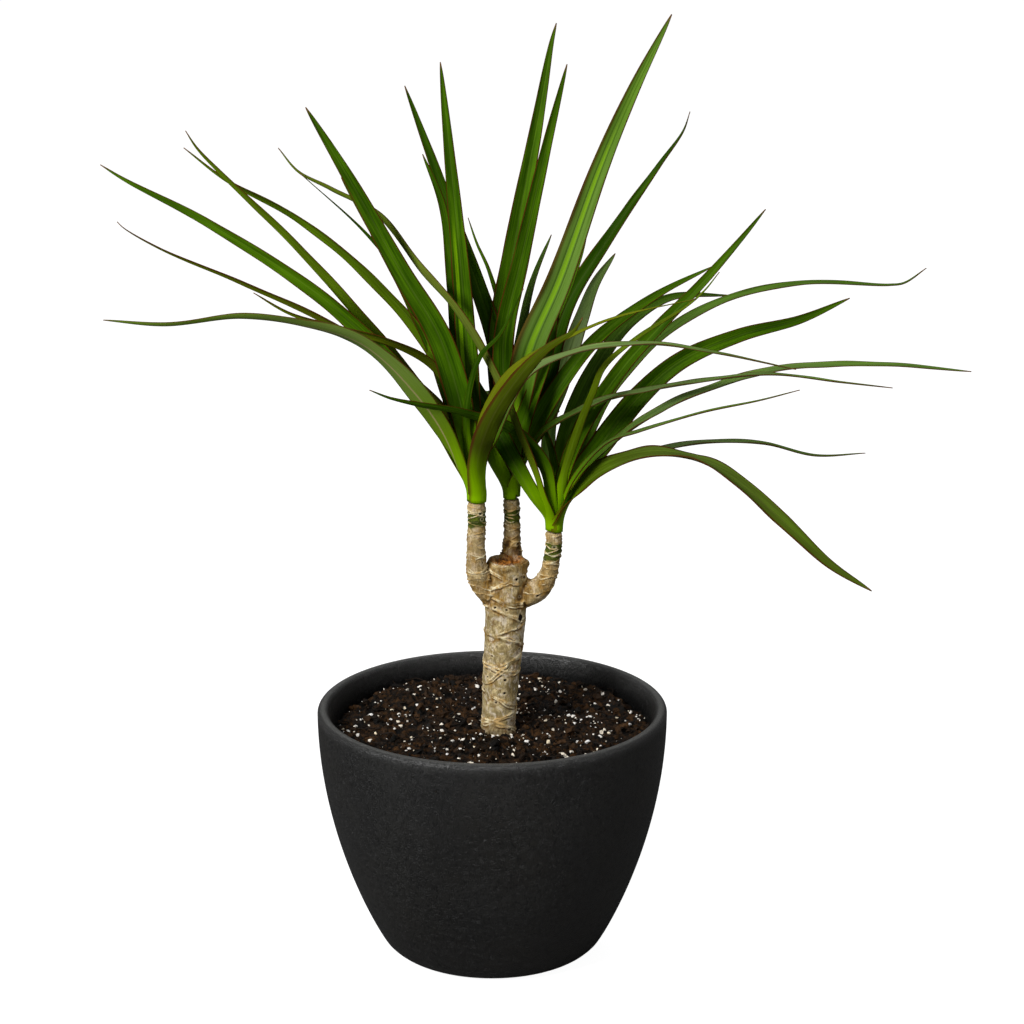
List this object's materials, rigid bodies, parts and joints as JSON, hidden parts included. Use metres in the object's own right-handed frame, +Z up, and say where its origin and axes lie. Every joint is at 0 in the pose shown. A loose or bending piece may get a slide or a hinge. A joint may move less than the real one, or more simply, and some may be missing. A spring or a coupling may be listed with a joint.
{
  "type": "potted dracaena plant",
  "caption": "Houseplant with three crowns of long, narrow, arching leaves on a branched, pruned cane, in a matt dark bowl-shaped pot filled with soil.",
  "frame": {"origin": "centre of the pot's flat underside, on the surface that the pot stands on", "axes": "+Z up along the pot's axis; +Y away from the front, so that +X is to the right for someone who looks at the front"},
  "size_m": [0.403, 0.2475, 0.4649],
  "materials": {
    "pot": "matt charcoal with a fine grain",
    "soil": "rough potting mix of peat, bark crumbs and perlite",
    "bark": "dry bark with leaf scars",
    "leaf": "satin living leaf"
  },
  "bodies": {
    "root": {"pot": "pot", "soil": "soil", "trunk": "bark", "crown_left": "leaf", "crown_middle": "leaf", "crown_right": "leaf"}
  },
  "joints": []
}
